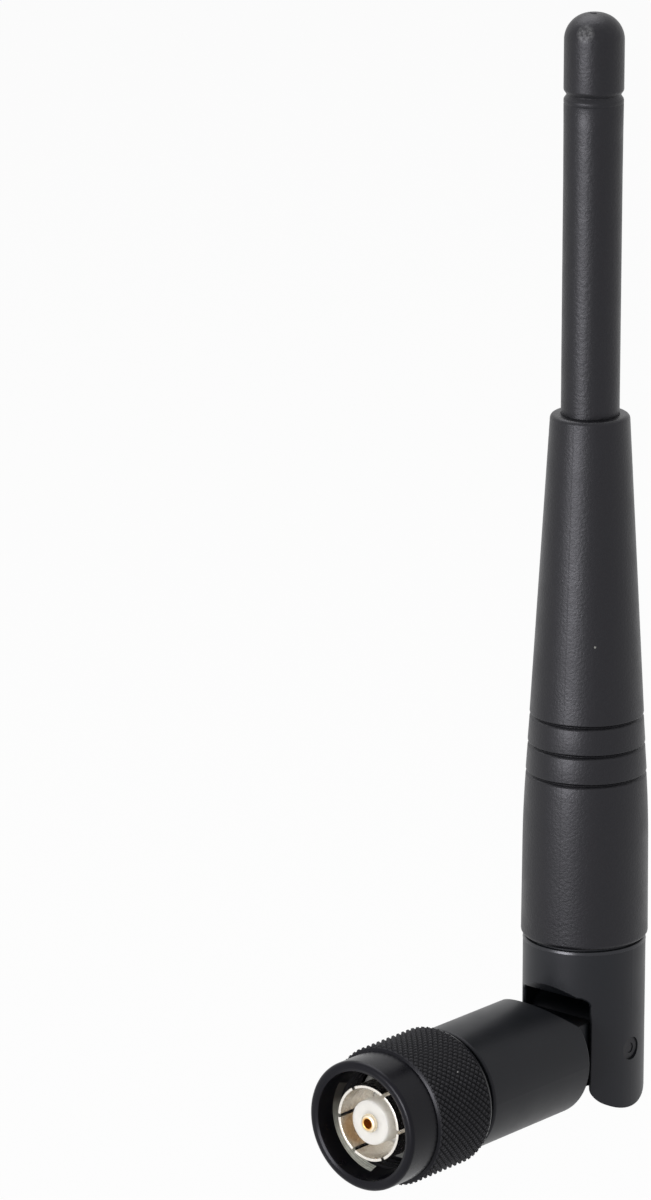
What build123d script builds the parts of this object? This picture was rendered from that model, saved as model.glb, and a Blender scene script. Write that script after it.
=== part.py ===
import math
import os

from build123d import *

os.makedirs("parts", exist_ok=True)

# An articulated whip antenna on a threaded coaxial plug, in millimetres.
# The plug's axis is Y and the plug mates towards -Y, with the origin on that axis at the tips of the
# slotted outer contact. The hinge pins lie along X, and the whip stands up along Z, bent at a right angle.

# Running clearances, which every fit below takes its second size from
shaft_clearance = 0.05
cheek_clearance = 0.10
ring_side_clearance = 0.05
ring_clearance = 0.10
face_clearance = 0.15
wiping_clearance = 0.30
glue_clearance = 0.03

# The plug's outer contact and what it holds
contact_radius = 3.95
contact_wall = 0.35
contact_free_length = 4.70
contact_seat_length = 1.40
contact_seat_step = 0.20
finger_count = 6
finger_slot_width = 0.40
finger_slot_length = 5.00
finger_lead = 0.10
insulator_radius = 2.31
insulator_setback = 0.30
insulator_base_setback = 5.00
socket_radius = 0.95
socket_bore_radius = 0.50
socket_setback = -0.10
socket_bore_depth = 3.20
socket_slit_width = 0.22
socket_slit_length = 2.20
socket_collar_radius = 1.45
socket_collar_length = 1.20
socket_tail_setback = 0.45
wire_cup_depth = 3.20
gasket_thickness = 0.85
gasket_inner_clearance = 0.05
gasket_round = 0.20

# The turned body, its tail in the elbow and the crimp
body_wall = 0.80
body_length = 6.30
journal_radius = 3.30
journal_length = 5.60
journal_chamfer = 0.20
stem_radius = 1.15
stem_length = 4.20
ferrule_wall = 0.40
ferrule_length = 5.40
braid_thickness = 0.18
ring_width = 0.70
ring_wall = 1.00
ring_slit = 1.60
ring_bite = 0.50
nut_ring_setback = 0.20
elbow_ring_setback = 2.40

# The coupling nut
nut_overhang = 1.15
nut_length = 12.80
collar_wall = 1.14
collar_length = 4.70
grip_step = 0.52
grip_edge = 0.25
rear_rim_step = 0.17
rear_rim_length = 0.60
thread_room = 0.20
thread_depth = 0.41
mouth_chamfer = 0.20
thread_length = 6.60
relief_length = 0.80
nut_round = 0.30

# The coaxial cable
cable_radius = 0.90
core_radius = 0.43
wire_radius = 0.16
cable_bend_radius = 5.00
cable_room = 0.25

# The hinge
hinge_setback = 34.45
knuckle_step = 0.14
knuckle_top = 11.10
knuckle_top_round = 0.25
knuckle_bevel = 1.15
ear_gap = 8.30
ear_round = 1.00
slot_edge_round = 0.25
slot_corner_round = 0.85
ceiling_height = 6.00
web_gap = 0.30
web_drop_angle = 12.0
barrel_radius = 6.44
barrel_round = 0.35
barrel_bevel_length = 3.40
barrel_bevel_depth = 2.57
shoulder_gap = 0.65
shoulder_round = 0.25
tongue_radius = 4.90
tongue_neck_half = 3.40
pin_radius = 1.20
pin_bore_inset = 2.40
pin_head_recess = 0.12
pin_dimple_radius = 0.55
pin_dimple_depth = 0.08

# The boot over the knuckle's neck
seam_width = 0.20
seam_depth = 0.30
neck_radius = 4.80
neck_length = 9.00
spigot_length = 10.00
boot_overhang = 0.22
boot_draw_in = 0.12
boot_waist_height = 24.50
boot_blend_radius = 130.0
boot_top_radius = 4.02
boot_top_height = 66.10
boot_round = 0.45
boot_top_round = 0.45
groove_top_height = 34.70
groove_pitch = 3.02
groove_count = 3
groove_depth = 0.22
groove_half_width = 0.28

# The whip tube and its cap
tube_radius = 2.96
tube_wall = 0.60
tube_end_radius = 3.00
tube_flare_length = 6.00
tip_seam_depth = 0.42
tip_seam_half_width = 0.48
cap_radius = 3.015
cap_length = 7.90
cap_round = 2.70
plug_length = 4.00
plug_room = 1.85

# The sleeve dipole inside the tube
feed_rise = 0.90
sleeve_length = 24.00
sleeve_radius = 2.00
sleeve_wall = 0.25
sleeve_end_thickness = 0.40
feed_gap = 1.60
jacket_strip = 1.60
radiator_radius = 0.60
radiator_length = 24.50
radiator_cup_depth = 1.50
bead_length = 2.00
bead_inset = 1.00
shrink_length = 7.00
shrink_wall = 0.18

# Places worked out from the sizes above
nut_front = -nut_overhang
nut_rear = nut_front + nut_length
seat_radius = contact_radius + contact_seat_step
body_radius = seat_radius + body_wall
thread_minor_radius = body_radius + thread_room
thread_major_radius = thread_minor_radius + thread_depth
collar_radius = thread_major_radius + collar_wall
grip_radius = collar_radius + grip_step
rear_rim_radius = grip_radius - rear_rim_step
body_front = contact_free_length + gasket_thickness
body_rear = body_front + body_length
contact_rear = body_front + contact_seat_length
nut_ring_place = contact_rear + nut_ring_setback
elbow_ring_place = body_rear + elbow_ring_setback
journal_rear = body_rear + journal_length
stem_rear = journal_rear + stem_length
elbow_front = body_rear + face_clearance
knuckle_radius = barrel_radius - knuckle_step
boot_base_radius = knuckle_radius + boot_overhang
boot_waist_radius = boot_base_radius - boot_draw_in
shoulder_y = hinge_setback - knuckle_radius - shoulder_gap
shoulder_place = shoulder_y - hinge_setback
ear_inner = ear_gap / 2
tongue_half = ear_inner - cheek_clearance
cable_bore_radius = cable_radius + cable_room
tube_inner_radius = tube_radius - tube_wall
seam_top = knuckle_top + seam_width
neck_top = seam_top + neck_length
contact_inner_radius = contact_radius - contact_wall
feed_height = boot_top_height + feed_rise
radiator_top = feed_height + feed_gap + radiator_length
tip_seam_height = radiator_top + plug_room + plug_length
tip_height = tip_seam_height + cap_length
# Two edges nearer than this are taken as the same place by the selectors
same = 1e-6

whip_axis = Axis((0, hinge_setback, 0), (0, 0, 1))
pin_axis = Axis((0, hinge_setback, 0), (1, 0, 0))
# Sketches of the whip's turned pieces: sketch x is the radius and sketch y the height above the pins
whip_plane = Plane(origin=(0, hinge_setback, 0), x_dir=(1, 0, 0), z_dir=(0, -1, 0))
# Sketches of the hinge seen along the pins: sketch x runs away from the plug and sketch y runs up
side_plane = Plane(origin=(0, hinge_setback, 0), x_dir=(0, 1, 0), z_dir=(1, 0, 0))


def whip_level(height):
    """The level plane at a height above the pins, centred on the whip's axis."""
    return Plane(origin=(0, hinge_setback, height))


def write(piece, label):
    """Label a finished piece and write it as its own file."""
    piece.part.label = label
    export_step(piece.part, f"parts/{label}.step")


# The slotted outer contact: a thin tube with six spring fingers, stepped up where the body grips it
with BuildPart() as outer_contact:
    with BuildSketch(Plane.XY):
        with BuildLine():
            Polyline(
                (contact_inner_radius, finger_lead),
                (contact_inner_radius + finger_lead, 0),
                (contact_radius, 0),
                (contact_radius, contact_free_length),
                (seat_radius, contact_free_length),
                (seat_radius, contact_rear),
                (contact_inner_radius, contact_rear),
                close=True,
            )
        make_face()
    revolve(axis=Axis.Y)
    with BuildSketch(Plane.XZ):
        with PolarLocations(contact_radius, finger_count):
            Rectangle(4 * contact_wall, finger_slot_width)
    extrude(amount=-finger_slot_length, mode=Mode.SUBTRACT)
write(outer_contact, "outer_contact")

# The turned body: a flange that the nut turns on, a journal for the elbow and a stem for the crimp
with BuildPart() as connector_body:
    with BuildSketch(Plane.XY):
        with BuildLine():
            Polyline(
                (seat_radius, body_front),
                (body_radius, body_front),
                (body_radius, body_rear),
                (journal_radius, body_rear),
                (journal_radius, journal_rear),
                (stem_radius, journal_rear),
                (stem_radius, stem_rear),
                (core_radius + glue_clearance, stem_rear),
                (core_radius + glue_clearance, body_rear),
                (insulator_radius, body_rear),
                (insulator_radius, contact_rear),
                (seat_radius, contact_rear),
                close=True,
            )
        make_face()
    revolve(axis=Axis.Y)
    rear_edges = connector_body.edges().filter_by(GeomType.CIRCLE).filter_by(
        lambda edge: abs(edge.arc_center.Y - journal_rear) < same
    )
    chamfer(rear_edges.sort_by(SortBy.RADIUS)[-1], length=journal_chamfer)
    # The two spring ring grooves
    for groove_front, outside in ((nut_ring_place, body_radius), (elbow_ring_place, journal_radius)):
        floor = outside + ring_clearance - ring_wall
        with BuildSketch(Plane.XZ.offset(-groove_front)):
            Circle(2 * outside)
            Circle(floor, mode=Mode.SUBTRACT)
        extrude(amount=-(ring_width + 2 * ring_side_clearance), mode=Mode.SUBTRACT)
write(connector_body, "connector_body")

# The slit spring rings that keep the nut on the body and the elbow on its journal
for label, outer_radius, front in (
    ("nut_ring", body_radius + ring_bite, nut_ring_place + ring_side_clearance),
    ("elbow_ring", journal_radius + ring_bite, elbow_ring_place + ring_side_clearance),
):
    with BuildPart() as spring_ring:
        with BuildSketch(Plane.XZ.offset(-front)):
            Circle(outer_radius)
            Circle(outer_radius - ring_wall, mode=Mode.SUBTRACT)
            with Locations((0, -outer_radius)):
                Rectangle(ring_slit, 2 * ring_wall + ring_slit, mode=Mode.SUBTRACT)
        extrude(amount=-ring_width)
    write(spring_ring, label)

# The coupling nut: a smooth collar, a grip band and a rear rim, bored for its thread and for the body
nut_bore_radius = body_radius + ring_clearance
with BuildPart() as coupling_nut:
    with BuildSketch(Plane.XY):
        with BuildLine():
            Polyline(
                (thread_minor_radius + mouth_chamfer, nut_front),
                (collar_radius - nut_round, nut_front),
                (collar_radius, nut_front + nut_round),
                (collar_radius, nut_front + collar_length),
                (grip_radius - grip_edge, nut_front + collar_length),
                (grip_radius, nut_front + collar_length + grip_edge),
                (grip_radius, nut_rear - rear_rim_length - grip_edge),
                (rear_rim_radius, nut_rear - rear_rim_length),
                (rear_rim_radius, nut_rear - nut_round),
                (rear_rim_radius - nut_round, nut_rear),
                (nut_bore_radius, nut_rear),
                (nut_bore_radius, nut_front + thread_length + relief_length),
                (thread_major_radius, nut_front + thread_length + relief_length),
                (thread_major_radius, nut_front + thread_length),
                (thread_minor_radius, nut_front + thread_length),
                (thread_minor_radius, nut_front + mouth_chamfer),
                close=True,
            )
        make_face()
    revolve(axis=Axis.Y)
    with BuildSketch(Plane.XZ.offset(-nut_ring_place)):
        Circle(body_radius + ring_bite + ring_clearance)
        Circle(body_radius, mode=Mode.SUBTRACT)
    extrude(amount=-(ring_width + 2 * ring_side_clearance), mode=Mode.SUBTRACT)
write(coupling_nut, "coupling_nut")

# The white insulator: a nose inside the fingers, a base that fills the contact and a tail in the body
with BuildPart() as insulator:
    with BuildSketch(Plane.XY):
        with BuildLine():
            Polyline(
                (socket_radius, insulator_setback),
                (insulator_radius, insulator_setback),
                (insulator_radius, insulator_base_setback),
                (contact_inner_radius, insulator_base_setback),
                (contact_inner_radius, contact_rear),
                (insulator_radius, contact_rear),
                (insulator_radius, body_rear),
                (socket_radius, body_rear),
                (socket_radius, insulator_base_setback + socket_collar_length),
                (socket_collar_radius, insulator_base_setback + socket_collar_length),
                (socket_collar_radius, insulator_base_setback),
                (socket_radius, insulator_base_setback),
                close=True,
            )
        make_face()
    revolve(axis=Axis.Y)
write(insulator, "insulator")

# The gold socket in the middle, slit so that it grips the mating pin, with a cup for the cable's wire
with BuildPart() as centre_socket:
    with BuildSketch(Plane.XY):
        with BuildLine():
            Polyline(
                (0, socket_setback + socket_bore_depth),
                (socket_bore_radius, socket_setback + socket_bore_depth),
                (socket_bore_radius, socket_setback),
                (socket_radius, socket_setback),
                (socket_radius, insulator_base_setback),
                (socket_collar_radius, insulator_base_setback),
                (socket_collar_radius, insulator_base_setback + socket_collar_length),
                (socket_radius, insulator_base_setback + socket_collar_length),
                (socket_radius, body_rear - socket_tail_setback),
                (wire_radius, body_rear - socket_tail_setback),
                (wire_radius, body_rear - wire_cup_depth),
                (0, body_rear - wire_cup_depth),
                close=True,
            )
        make_face()
    revolve(axis=Axis.Y)
    with BuildSketch(Plane.XZ.offset(-socket_setback)):
        Rectangle(socket_slit_width, 4 * socket_radius)
    extrude(amount=-socket_slit_length, mode=Mode.SUBTRACT)
write(centre_socket, "centre_socket")

# The soft face gasket round the foot of the fingers
with BuildPart() as face_gasket:
    with BuildSketch(Plane.XZ.offset(-contact_free_length)):
        Circle(body_radius)
        Circle(seat_radius + gasket_inner_clearance, mode=Mode.SUBTRACT)
    extrude(amount=-gasket_thickness)
    fillet(face_gasket.edges().group_by(Axis.Y)[0], radius=gasket_round)
write(face_gasket, "face_gasket")

# The cable's braid, spread over the stem, and the ferrule crimped on it
ferrule_front = journal_rear + face_clearance
with BuildPart() as crimped_braid:
    with BuildSketch(Plane.XZ.offset(-ferrule_front)):
        Circle(stem_radius + braid_thickness)
        Circle(stem_radius, mode=Mode.SUBTRACT)
    extrude(amount=-(stem_rear - ferrule_front))
write(crimped_braid, "crimped_braid")

with BuildPart() as crimp_ferrule:
    with BuildSketch(Plane.XZ.offset(-ferrule_front)):
        Circle(stem_radius + braid_thickness + ferrule_wall)
        Circle(stem_radius + braid_thickness, mode=Mode.SUBTRACT)
    extrude(amount=-ferrule_length)
write(crimp_ferrule, "crimp_ferrule")

# The cable's stripped front end: its insulated core in the stem and its wire in the socket's cup
with BuildPart() as front_core:
    with BuildSketch(Plane.XZ.offset(-body_rear)):
        Circle(core_radius)
    extrude(amount=-(stem_rear - body_rear))
    with BuildSketch(Plane.XZ.offset(-body_rear)):
        Circle(wire_radius)
    extrude(amount=wire_cup_depth)
write(front_core, "front_core")

# The elbow: a barrel that turns on the journal, bevelled inside the bend, with a round-ended tongue
ferrule_rear = ferrule_front + ferrule_length
ferrule_radius = stem_radius + braid_thickness + ferrule_wall
with BuildPart() as elbow_barrel:
    with BuildSketch(Plane.XZ.offset(-elbow_front)):
        Circle(barrel_radius)
    extrude(amount=-(shoulder_y - elbow_front))
    fillet(elbow_barrel.edges().group_by(Axis.Y)[0], radius=barrel_round)
    with BuildSketch(side_plane):
        with BuildLine():
            Polyline(
                (shoulder_place, barrel_radius - barrel_bevel_depth),
                (shoulder_place - barrel_bevel_length, barrel_radius),
                (shoulder_place - barrel_bevel_length, 2 * barrel_radius),
                (shoulder_place + barrel_bevel_length, 2 * barrel_radius),
                (shoulder_place + barrel_bevel_length, barrel_radius - barrel_bevel_depth),
                close=True,
            )
        make_face()
    extrude(amount=barrel_radius, both=True, mode=Mode.SUBTRACT)
    shoulder_edges = elbow_barrel.edges().filter_by(Axis.Y, reverse=True).filter_by(
        lambda edge: edge.center().Y > shoulder_y - barrel_bevel_length
    )
    fillet(shoulder_edges, radius=shoulder_round)
    with BuildSketch(side_plane):
        Circle(tongue_radius)
        with Locations((shoulder_place - barrel_bevel_length, 0)):
            Rectangle(
                barrel_bevel_length - shoulder_place, 2 * tongue_neck_half, align=(Align.MIN, Align.CENTER)
            )
    extrude(amount=tongue_half, both=True)
    # The bore for the journal, with its ring groove, then room for the crimp and a hole for the cable
    with BuildSketch(Plane.XZ.offset(-elbow_front)):
        Circle(journal_radius + shaft_clearance)
    extrude(amount=-(journal_rear + face_clearance - elbow_front), mode=Mode.SUBTRACT)
    with BuildSketch(Plane.XZ.offset(-elbow_ring_place)):
        Circle(journal_radius + ring_bite + ring_clearance)
    extrude(amount=-(ring_width + 2 * ring_side_clearance), mode=Mode.SUBTRACT)
    with BuildSketch(Plane.XZ.offset(-journal_rear)):
        Circle(ferrule_radius + wiping_clearance)
    extrude(amount=-(ferrule_rear + wiping_clearance - journal_rear), mode=Mode.SUBTRACT)
    with BuildSketch(Plane.XZ.offset(-ferrule_rear)):
        Circle(cable_bore_radius)
    extrude(amount=-(hinge_setback - ferrule_rear), mode=Mode.SUBTRACT)
    # The channel that lets the cable swing up, round a saddle inside the bend
    with BuildSketch(side_plane):
        with BuildLine():
            Polyline(
                (-cable_bend_radius, -cable_bore_radius),
                (2 * tongue_radius, -cable_bore_radius),
                (2 * tongue_radius, 2 * barrel_radius),
                (-cable_bend_radius, 2 * barrel_radius),
                close=True,
            )
        make_face()
        with Locations((-cable_bend_radius, cable_bend_radius)):
            Circle(cable_bend_radius - cable_bore_radius, mode=Mode.SUBTRACT)
    extrude(amount=cable_bore_radius, both=True, mode=Mode.SUBTRACT)
    # The blind holes that the hinge pins turn in
    for side in (1, -1):
        with BuildSketch(Plane(origin=(side * tongue_half, hinge_setback, 0), z_dir=(side, 0, 0))):
            Circle(pin_radius + shaft_clearance)
        extrude(amount=-(tongue_half - pin_bore_inset + wiping_clearance), mode=Mode.SUBTRACT)
write(elbow_barrel, "elbow_barrel")

# The room between the knuckle's ears: open below the web, bevelled at its front rim, with round upper corners
# How far it runs out past the knuckle
far = 4 * knuckle_radius
ceiling_rear = cable_bore_radius + cheek_clearance
with BuildPart() as slot:
    with BuildSketch(side_plane):
        Circle(tongue_radius + web_gap)
        with BuildLine():
            Polyline(
                (ceiling_rear, ceiling_height),
                (knuckle_bevel - knuckle_radius, ceiling_height),
                (knuckle_bevel - knuckle_radius - far, ceiling_height + far),
                (-far, -far),
                (far, -far),
                (far, -far * math.tan(math.radians(web_drop_angle))),
                (0, 0),
                (ceiling_rear, 0),
                close=True,
            )
        make_face()
    extrude(amount=ear_inner, both=True)
    upper_corners = slot.edges().filter_by(Axis.X, reverse=True).filter_by(
        lambda edge: edge.center().Z > ceiling_height - same and edge.center().Y > hinge_setback - far
    )
    fillet(upper_corners, radius=slot_corner_round)

# The knuckle at the whip's foot: two round-ended ears, a web behind the tongue, and a neck for the boot
with BuildPart() as knuckle:
    with BuildSketch(whip_level(-knuckle_radius)):
        Circle(knuckle_radius)
    extrude(amount=knuckle_radius + knuckle_top)
    with BuildSketch(side_plane):
        Circle(knuckle_radius)
        with Locations((0, knuckle_top)):
            Rectangle(2 * knuckle_radius, 2 * knuckle_top)
    extrude(amount=knuckle_radius, both=True, mode=Mode.INTERSECT)
    add(slot, mode=Mode.SUBTRACT)
    with BuildSketch(whip_plane):
        with BuildLine():
            Polyline(
                (0, ceiling_height + knuckle_bevel),
                (0, neck_top + spigot_length),
                (tube_inner_radius - glue_clearance, neck_top + spigot_length),
                (tube_inner_radius - glue_clearance, neck_top),
                (neck_radius, neck_top),
                (neck_radius, seam_top),
                (knuckle_radius - seam_depth, seam_top),
                (knuckle_radius - seam_depth, ceiling_height + knuckle_bevel),
                close=True,
            )
        make_face()
    revolve(axis=whip_axis)
    with BuildSketch(whip_level(0)):
        Circle(cable_bore_radius)
    extrude(amount=neck_top + spigot_length, mode=Mode.SUBTRACT)
    with BuildSketch(side_plane):
        Circle(pin_radius)
    extrude(amount=knuckle_radius, both=True, mode=Mode.SUBTRACT)
    top_rim = knuckle.edges().filter_by(GeomType.CIRCLE).filter_by(
        lambda edge: abs(edge.arc_center.Z - knuckle_top) < same and abs(edge.radius - knuckle_radius) < same
    )
    fillet(top_rim, radius=knuckle_top_round)
    slot_edges = knuckle.edges().filter_by(Axis.Z).filter_by(
        lambda edge: abs(abs(edge.center().X) - ear_inner) < same and edge.center().Y < hinge_setback
    )
    fillet(slot_edges, radius=slot_edge_round)
    # The inner rims of the ears' round ends, rounded by turning a spandrel from their front to the web
    with BuildSketch(Plane.XY):
        for side in (1, -1):
            with Locations((side * ear_inner, hinge_setback - knuckle_radius)):
                Rectangle(2 * ear_round, 2 * ear_round)
            with Locations((side * (ear_inner + ear_round), hinge_setback - knuckle_radius + ear_round)):
                Circle(ear_round, mode=Mode.SUBTRACT)
    revolve(axis=pin_axis, revolution_arc=180 - web_drop_angle, mode=Mode.SUBTRACT)
write(knuckle, "knuckle")

# The two short hinge pins, one through each ear, so that the cable can pass between them
pin_face = math.sqrt(knuckle_radius**2 - pin_radius**2) - pin_head_recess
for side, label in ((1, "hinge_pin_right"), (-1, "hinge_pin_left")):
    with BuildPart() as hinge_pin:
        with BuildSketch(Plane(origin=(side * pin_bore_inset, hinge_setback, 0), z_dir=(side, 0, 0))):
            Circle(pin_radius)
        extrude(amount=pin_face - pin_bore_inset)
        with BuildSketch(Plane(origin=(side * pin_face, hinge_setback, 0), z_dir=(side, 0, 0))):
            Circle(pin_dimple_radius)
        extrude(amount=-pin_dimple_depth, mode=Mode.SUBTRACT)
    write(hinge_pin, label)


def boot_radius(height):
    """The boot's outer radius on its straight taper."""
    share = (height - boot_waist_height) / (boot_top_height - boot_waist_height)
    return boot_waist_radius + share * (boot_top_radius - boot_waist_radius)


# The tapered boot, moulded over the neck and the tube's foot, with three ring grooves
with BuildPart() as tapered_boot:
    with BuildSketch(whip_plane):
        with BuildLine():
            FilletPolyline(
                (boot_base_radius, seam_top),
                (boot_waist_radius, boot_waist_height),
                (boot_top_radius, boot_top_height),
                radius=boot_blend_radius,
            )
            Polyline(
                (boot_top_radius, boot_top_height),
                (tube_radius + glue_clearance, boot_top_height),
                (tube_radius + glue_clearance, neck_top),
                (neck_radius + glue_clearance, neck_top),
                (neck_radius + glue_clearance, seam_top),
                (boot_base_radius, seam_top),
            )
        make_face()
    revolve(axis=whip_axis)
    for index in range(groove_count):
        height = groove_top_height - index * groove_pitch
        radius = boot_radius(height)
        with BuildSketch(whip_plane):
            with BuildLine():
                Polyline(
                    (radius - groove_depth, height),
                    (radius + groove_depth, height - 2 * groove_half_width),
                    (radius + groove_depth, height + 2 * groove_half_width),
                    close=True,
                )
            make_face()
        revolve(axis=whip_axis, mode=Mode.SUBTRACT)
    outer_rims = tapered_boot.edges().filter_by(GeomType.CIRCLE).group_by(Axis.Z)
    fillet(outer_rims[0].sort_by(SortBy.RADIUS)[-1], radius=boot_round)
    fillet(
        tapered_boot.edges().filter_by(GeomType.CIRCLE).group_by(Axis.Z)[-1].sort_by(SortBy.RADIUS)[-1],
        radius=boot_top_round,
    )
write(tapered_boot, "tapered_boot")

# The whip tube, flared a little at its end, where a groove marks the cap's seam
with BuildPart() as whip_tube:
    with BuildSketch(whip_plane):
        with BuildLine():
            Polyline(
                (tube_inner_radius, neck_top),
                (tube_radius, neck_top),
                (tube_radius, tip_seam_height - tube_flare_length),
                (tube_end_radius, tip_seam_height - tip_seam_half_width),
                (tube_end_radius - tip_seam_depth, tip_seam_height),
                (tube_inner_radius, tip_seam_height),
                close=True,
            )
        make_face()
    revolve(axis=whip_axis)
write(whip_tube, "whip_tube")

# The domed cap, plugged into the tube's end
with BuildPart() as tip_cap:
    with BuildSketch(whip_plane):
        with BuildLine():
            Polyline(
                (0, tip_seam_height - plug_length),
                (tube_inner_radius - glue_clearance, tip_seam_height - plug_length),
                (tube_inner_radius - glue_clearance, tip_seam_height),
                (tube_end_radius - tip_seam_depth, tip_seam_height),
                (cap_radius, tip_seam_height + tip_seam_half_width),
                (cap_radius, tip_height),
                (0, tip_height),
                close=True,
            )
        make_face()
    revolve(axis=whip_axis)
    fillet(tip_cap.edges().group_by(Axis.Z)[-1], radius=cap_round)
write(tip_cap, "tip_cap")

# The cable's jacket, from the crimp round the hinge and up to the feed
with BuildPart() as coax_cable:
    with BuildLine(side_plane) as route:
        FilletPolyline(
            (stem_rear - hinge_setback, 0),
            (0, 0),
            (0, feed_height - jacket_strip),
            radius=cable_bend_radius,
        )
    with BuildSketch(Plane.XZ.offset(-stem_rear)):
        Circle(cable_radius)
    sweep(path=route.line)
write(coax_cable, "coax_cable")

# The brass sleeve, a drawn cup hung upside down from the cable's braid: the dipole's lower arm
braid_radius = core_radius + braid_thickness
with BuildPart() as dipole_sleeve:
    with BuildSketch(whip_plane):
        with BuildLine():
            Polyline(
                (braid_radius, feed_height),
                (sleeve_radius, feed_height),
                (sleeve_radius, feed_height - sleeve_length),
                (sleeve_radius - sleeve_wall, feed_height - sleeve_length),
                (sleeve_radius - sleeve_wall, feed_height - sleeve_end_thickness),
                (braid_radius, feed_height - sleeve_end_thickness),
                close=True,
            )
        make_face()
    revolve(axis=whip_axis)
write(dipole_sleeve, "dipole_sleeve")

# The bared braid, soldered in the sleeve's end
with BuildPart() as feed_braid:
    with BuildSketch(whip_level(feed_height - jacket_strip)):
        Circle(braid_radius)
        Circle(core_radius, mode=Mode.SUBTRACT)
    extrude(amount=jacket_strip)
write(feed_braid, "feed_braid")

# The bared core, with the wire that carries on into the upper arm
with BuildPart() as feed_core:
    with BuildSketch(whip_level(feed_height - jacket_strip)):
        Circle(core_radius)
    extrude(amount=jacket_strip + feed_gap)
    with BuildSketch(whip_level(feed_height + feed_gap)):
        Circle(wire_radius)
    extrude(amount=radiator_cup_depth)
write(feed_core, "feed_core")

# The upper arm, a brass rod with a cup for the wire
with BuildPart() as upper_radiator:
    with BuildSketch(whip_level(feed_height + feed_gap)):
        Circle(radiator_radius)
    extrude(amount=radiator_length)
    with BuildSketch(whip_level(feed_height + feed_gap)):
        Circle(wire_radius)
    extrude(amount=radiator_cup_depth, mode=Mode.SUBTRACT)
write(upper_radiator, "upper_radiator")

# The bead that centres the cable in the sleeve's mouth
with BuildPart() as sleeve_bead:
    with BuildSketch(whip_level(feed_height - sleeve_length + bead_inset)):
        Circle(sleeve_radius - sleeve_wall)
        Circle(cable_radius + glue_clearance, mode=Mode.SUBTRACT)
    extrude(amount=bead_length)
write(sleeve_bead, "sleeve_bead")

# The bead that centres the upper arm in the tube
with BuildPart() as radiator_bead:
    with BuildSketch(whip_level(radiator_top - bead_inset - bead_length)):
        Circle(tube_inner_radius - glue_clearance)
        Circle(radiator_radius, mode=Mode.SUBTRACT)
    extrude(amount=bead_length)
write(radiator_bead, "radiator_bead")

# The heat-shrink tube over the feed
with BuildPart() as feed_shrink:
    with BuildSketch(whip_level(feed_height + feed_gap - shrink_length)):
        Circle(sleeve_radius + shrink_wall)
        Circle(sleeve_radius, mode=Mode.SUBTRACT)
    extrude(amount=shrink_length)
write(feed_shrink, "feed_shrink")
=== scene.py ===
# %% [markdown]
# This lesson dresses a folding antenna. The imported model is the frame: every solid is already at its real
# size and place. The lesson adds the looks, which are smooth turned skins, a cut knurl, a thread and the
# finishes, and it never moves a solid.

# %% Load the frame
import math

import bmesh
import bpy
from mathutils import Matrix, Vector


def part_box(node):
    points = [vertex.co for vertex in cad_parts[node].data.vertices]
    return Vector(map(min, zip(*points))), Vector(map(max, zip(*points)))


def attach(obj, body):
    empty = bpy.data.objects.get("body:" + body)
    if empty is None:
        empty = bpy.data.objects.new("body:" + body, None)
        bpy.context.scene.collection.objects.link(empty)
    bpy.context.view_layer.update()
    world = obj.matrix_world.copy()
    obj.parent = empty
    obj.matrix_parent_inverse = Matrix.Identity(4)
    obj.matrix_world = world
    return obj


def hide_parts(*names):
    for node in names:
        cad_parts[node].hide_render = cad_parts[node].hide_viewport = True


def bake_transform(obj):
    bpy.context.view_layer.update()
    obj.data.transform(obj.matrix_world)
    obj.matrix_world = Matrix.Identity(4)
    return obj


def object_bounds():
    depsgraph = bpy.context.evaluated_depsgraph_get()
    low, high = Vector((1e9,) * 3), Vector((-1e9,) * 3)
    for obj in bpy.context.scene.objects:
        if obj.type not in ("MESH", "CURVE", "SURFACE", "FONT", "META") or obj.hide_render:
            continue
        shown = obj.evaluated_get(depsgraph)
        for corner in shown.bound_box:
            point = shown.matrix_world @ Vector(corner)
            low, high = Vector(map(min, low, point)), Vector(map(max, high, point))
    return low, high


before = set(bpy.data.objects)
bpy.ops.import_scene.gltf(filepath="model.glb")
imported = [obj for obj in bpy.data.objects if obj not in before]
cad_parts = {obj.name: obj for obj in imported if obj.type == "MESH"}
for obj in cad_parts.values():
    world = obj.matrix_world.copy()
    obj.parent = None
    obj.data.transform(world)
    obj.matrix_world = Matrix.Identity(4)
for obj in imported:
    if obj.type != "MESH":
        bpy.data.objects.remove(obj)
mm = 0.001
cad_box = [list(corner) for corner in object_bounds()]

# %% [markdown]
# The plug's axis is Y and the whip's axis stands on the hinge pins, so both axes are read from the frame.
# The camera was matched to the photograph: it looks at the pins from front right, a little above, through a
# long lens. It could be dragged into place by eye. Here it is worked out from the spot where the pins lie
# in the picture, so the view can be made again.

# %% Axes and camera
pin_low, pin_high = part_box("hinge_pin_right")
hinge = Vector((0, (pin_low.y + pin_high.y) / 2, 0))

picture_width, picture_height = 651, 1200
pins_in_picture = (583.05, 1034.8)
focal_pixels = 6487.0
camera_distance = 669.1 * mm
camera_azimuth, camera_elevation = math.radians(40.45), math.radians(15.8)
sensor_height = 36.0
nearest_seen = 0.05


def towards(azimuth, elevation):
    """The direction of something that stands at an angle round the object and an angle up."""
    return Vector((
        math.sin(azimuth) * math.cos(elevation),
        -math.cos(azimuth) * math.cos(elevation),
        math.sin(elevation),
    ))


def add_object(name, data):
    """Put a mesh, a lamp or a camera into the scene."""
    made = bpy.data.objects.new(name, data)
    bpy.context.scene.collection.objects.link(made)
    return made


towards_camera = towards(camera_azimuth, camera_elevation)
camera_right = Vector((math.cos(camera_azimuth), math.sin(camera_azimuth), 0))
camera_up = towards_camera.cross(camera_right)
step_right = (pins_in_picture[0] - picture_width / 2) / focal_pixels * camera_distance
step_up = (pins_in_picture[1] - picture_height / 2) / focal_pixels * camera_distance
camera_place = hinge + camera_distance * towards_camera - step_right * camera_right + step_up * camera_up

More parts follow.
